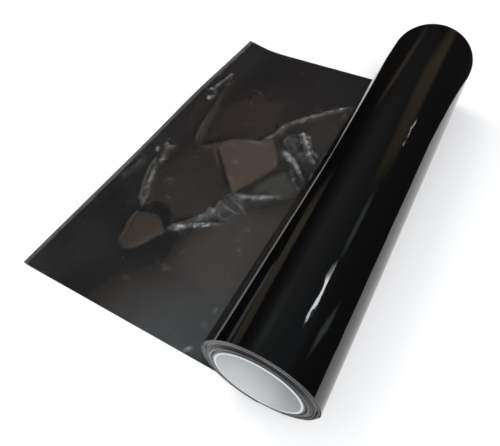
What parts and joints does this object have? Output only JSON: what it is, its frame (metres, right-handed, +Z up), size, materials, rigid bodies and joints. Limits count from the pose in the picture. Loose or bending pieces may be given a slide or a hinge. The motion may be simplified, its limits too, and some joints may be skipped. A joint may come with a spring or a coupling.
{
  "type": "roll of sign vinyl",
  "caption": "Part-used roll of gloss black self-adhesive sign vinyl on a hollow plastic core, its free end run out flat with the clear release liner on top and its edge curling up.",
  "frame": {"origin": "on the roll's axis, half way along the core's bore", "axes": "+Y along the roll's axis, +Z up, the tail runs out flat towards -X; the surface it lies on is the plane z = -0.054"},
  "size_m": [0.3548, 0.516, 0.108],
  "materials": {
    "core_plastic": "satin pale grey-white plastic tube",
    "start_tape": "matt cream tape",
    "wound_web": "gloss black film with fine grey liner lines in its wound edges",
    "black_film": "high-gloss black vinyl film",
    "adhesive": "clear tacky coat, satin",
    "release_liner": "clear glossy plastic release liner, slightly cockled"
  },
  "bodies": {
    "outer_turn": {"outer_turn_film": "black_film", "outer_turn_adhesive": "adhesive", "outer_turn_liner": "release_liner"},
    "roll": {"core_tube": "core_plastic", "start_tape": "start_tape", "wound_band_1": "wound_web", "wound_band_2": "wound_web", "wound_band_3": "wound_web", "wound_band_4": "wound_web", "wound_band_5": "wound_web", "wound_band_6": "wound_web", "loose_turns_web": "wound_web"},
    "tail": {"tail_film": "black_film", "tail_adhesive": "adhesive", "tail_liner": "release_liner"},
    "liner_flap": {"liner_edge": "release_liner"}
  },
  "joints": [
    {"name": "roll_turn", "type": "hinge", "parent": "outer_turn", "child": "roll", "pos_m": [0, 0, 0], "axis": [0, 1, 0], "continuous": true},
    {"name": "tail_lift", "type": "hinge", "parent": "outer_turn", "child": "tail", "pos_m": [-0.075, 0, -0.05368], "axis": [0, 1, 0], "range_deg": [0, 80]},
    {"name": "liner_peel", "type": "hinge", "parent": "tail", "child": "liner_flap", "pos_m": [-0.251, 0, -0.05363], "axis": [0, 1, 0], "range_deg": [0, 150]}
  ]
}
